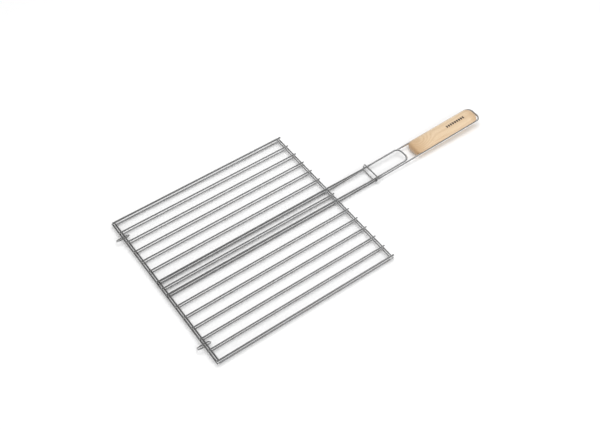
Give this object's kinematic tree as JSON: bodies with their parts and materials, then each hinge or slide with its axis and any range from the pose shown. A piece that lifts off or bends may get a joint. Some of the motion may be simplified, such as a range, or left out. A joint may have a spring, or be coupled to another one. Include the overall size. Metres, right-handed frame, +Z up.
{
  "type": "hinged grill basket",
  "caption": "Flat wire grill basket: two hinged chromed grilles that close over the food, a sliding lock ring and a wooden grip.",
  "frame": {"origin": "middle of the closed basket's length and width, on the surface that it lies on", "axes": "+X from the hinge end to the end of the grip, +Y to the left of that, +Z up through the lid"},
  "size_m": [0.7128, 0.341, 0.0243],
  "materials": {
    "frame_wire": "bright chromed steel wire, 3 and 4 mm",
    "grille_rod": "bright chromed steel wire, 3 mm",
    "ring_wire": "chromed steel wire",
    "grip_wood": "satin clear-varnished pale hardwood"
  },
  "bodies": {
    "base": {"base_hinge_bar": "frame_wire", "base_front_bar": "frame_wire", "base_handle_wire": "frame_wire", "left_hinge_ring": "ring_wire", "right_hinge_ring": "ring_wire", "grip": "grip_wood", "base_rod_01": "grille_rod", "base_rod_02": "grille_rod", "base_rod_03": "grille_rod", "base_rod_04": "grille_rod", "base_rod_05": "grille_rod", "base_rod_06": "grille_rod", "base_rod_07": "grille_rod", "base_rod_08": "grille_rod", "base_rod_09": "grille_rod", "base_rod_10": "grille_rod", "base_rod_11": "grille_rod", "base_rod_12": "grille_rod", "base_rod_13": "grille_rod"},
    "lid": {"lid_hinge_bar": "frame_wire", "lid_front_bar": "frame_wire", "lid_handle_wire": "frame_wire", "lid_rod_01": "grille_rod", "lid_rod_02": "grille_rod", "lid_rod_03": "grille_rod", "lid_rod_04": "grille_rod", "lid_rod_05": "grille_rod", "lid_rod_06": "grille_rod", "lid_rod_07": "grille_rod", "lid_rod_08": "grille_rod", "lid_rod_09": "grille_rod", "lid_rod_10": "grille_rod", "lid_rod_11": "grille_rod", "lid_rod_12": "grille_rod", "lid_rod_13": "grille_rod"},
    "lock_ring": {"lock_ring": "ring_wire"}
  },
  "joints": [
    {"name": "lid_hinge", "type": "hinge", "parent": "base", "child": "lid", "pos_m": [-0.34256, 0, 0.0066], "axis": [0, -1, 0], "range_deg": [0, 178]},
    {"name": "lock_ring_slide", "type": "slide", "parent": "base", "child": "lock_ring", "axis": [0.9992, 0, 0.0401], "range_m": [0, 0.088]}
  ]
}
